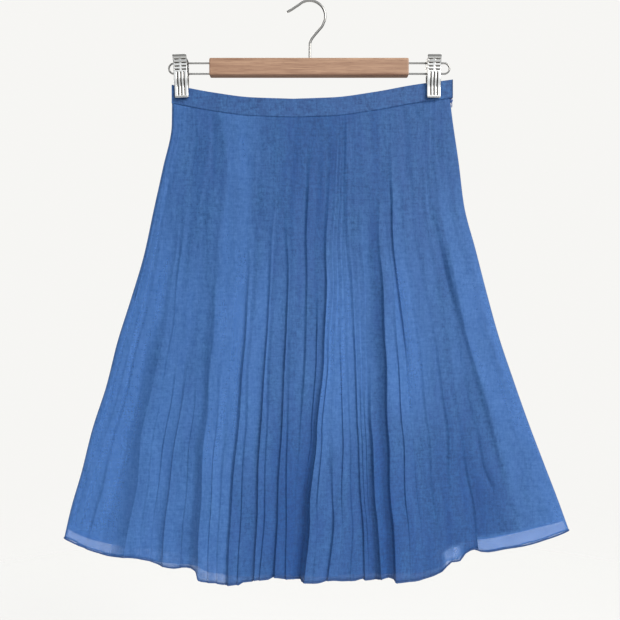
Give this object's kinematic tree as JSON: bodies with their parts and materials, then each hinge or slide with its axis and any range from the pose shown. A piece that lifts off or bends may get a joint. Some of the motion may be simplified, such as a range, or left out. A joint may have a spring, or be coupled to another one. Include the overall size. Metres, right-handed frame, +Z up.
{
  "type": "pleated skirt on clip hanger",
  "caption": "Knee-length sunray-pleated sheer skirt with a plain waistband and lining, hanging flat from a wooden bar hanger with sliding metal clips.",
  "frame": {"origin": "inner top of the hook, where whatever holds the hanger bears on the wire", "axes": "+Z up, -Y towards the skirt's front, +X to the viewer's right when facing the front"},
  "size_m": [0.646, 0.0358, 0.7421],
  "materials": {
    "cloth": "sheer slubbed voile, permanently pleated, mid blue",
    "waistband": "the same cloth over interfacing, nearly opaque",
    "lining": "plain matching lining",
    "wood": "pale reddish wood, thin satin lacquer",
    "steel": "bright nickel-plated steel",
    "rubber": "grey grip pads",
    "zip": "enamelled to match the cloth"
  },
  "bodies": {
    "skirt_and_hanger": {"skirt_front": "cloth", "skirt_back": "cloth", "lining_front": "lining", "lining_back": "lining", "waistband_front": "waistband", "waistband_back": "waistband", "zip_slider": "zip", "hanger_bar": "wood", "hanger_hook": "steel", "rail_left": "steel", "rail_right": "steel", "clip_left_front_jaw": "steel", "clip_left_back_jaw": "steel", "clip_left_pin": "steel", "clip_left_front_pad": "rubber", "clip_left_back_pad": "rubber", "clip_right_front_jaw": "steel", "clip_right_back_jaw": "steel", "clip_right_pin": "steel", "clip_right_front_pad": "rubber", "clip_right_back_pad": "rubber"},
    "pull_tab": {"zip_pull": "zip"}
  },
  "joints": [
    {"name": "pull_tab_swing", "type": "hinge", "parent": "skirt_and_hanger", "child": "pull_tab", "pos_m": [0.18195, 0, -0.1265], "axis": [0, -1, 0], "range_deg": [0, 135]}
  ]
}
